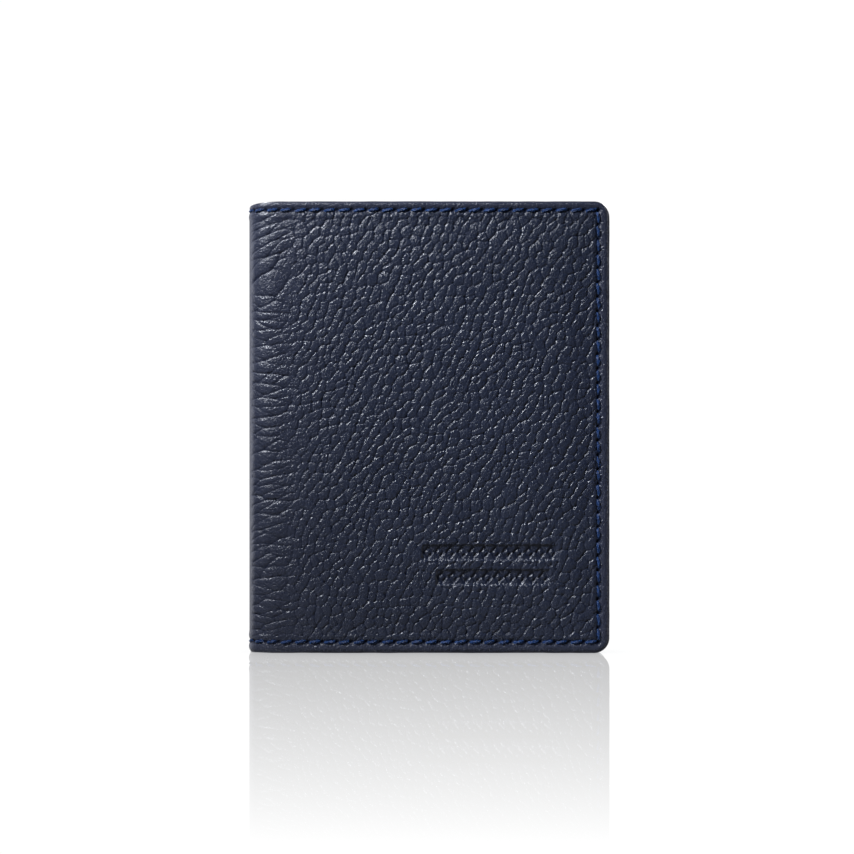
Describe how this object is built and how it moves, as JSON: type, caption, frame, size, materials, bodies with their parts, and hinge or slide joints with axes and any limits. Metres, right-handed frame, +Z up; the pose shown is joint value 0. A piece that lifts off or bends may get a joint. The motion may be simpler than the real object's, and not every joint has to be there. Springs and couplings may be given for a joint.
{
  "type": "bifold card holder",
  "caption": "Bifold card holder in pebbled leather, sewn round three sides, with a slip pocket and stepped card pockets in each cover.",
  "frame": {"origin": "centre of the closed holder's foot, on the plane that it stands on", "axes": "+Z up along the spine, +X from the spine to the opening edge, -Y out of the front cover and +Y out of the back cover"},
  "size_m": [0.08, 0.0108, 0.1],
  "materials": {
    "pebbled_leather": "navy full-grain leather, embossed pebble grain, semi-matt",
    "pocket_leather": "navy smooth calf, fine grain, semi-matt",
    "board": "bonded leather board, raw",
    "twill": "navy polyester twill",
    "thread": "royal blue twisted polyester, soft sheen",
    "edge_paint": "navy acrylic edge paint, satin"
  },
  "bodies": {
    "back_cover": {"back_cover": "pebbled_leather", "back_stiffener": "board", "back_lining": "twill", "back_slip_pocket": "pocket_leather", "back_middle_card_pocket": "pocket_leather", "back_inner_card_pocket": "pocket_leather", "back_pocket_stop_thread": "thread", "back_needle_thread": "thread", "back_bobbin_thread": "thread", "back_edge_coat": "edge_paint"},
    "spine": {"spine_cover": "pebbled_leather", "spine_lining": "twill", "spine_needle_thread_top": "thread", "spine_needle_thread_bottom": "thread", "spine_bobbin_thread_top": "thread", "spine_bobbin_thread_bottom": "thread", "spine_edge_coat_top": "edge_paint", "spine_edge_coat_bottom": "edge_paint"},
    "front_cover": {"front_cover": "pebbled_leather", "front_stiffener": "board", "front_lining": "twill", "front_slip_pocket": "pocket_leather", "front_middle_card_pocket": "pocket_leather", "front_inner_card_pocket": "pocket_leather", "front_pocket_stop_thread": "thread", "front_needle_thread": "thread", "front_bobbin_thread": "thread", "front_edge_coat": "edge_paint"}
  },
  "joints": [
    {"name": "spine_fold", "type": "hinge", "parent": "back_cover", "child": "spine", "pos_m": [-0.03839, 0.00371, 0.05], "axis": [0, 0, -1], "range_deg": [0, 90]},
    {"name": "cover_fold", "type": "hinge", "parent": "spine", "child": "front_cover", "pos_m": [-0.03839, -0.00371, 0.05], "axis": [0, 0, -1], "range_deg": [0, 90]}
  ],
  "couplings": [
    {"joint": "cover_fold", "follows": "spine_fold", "ratio": 1}
  ]
}
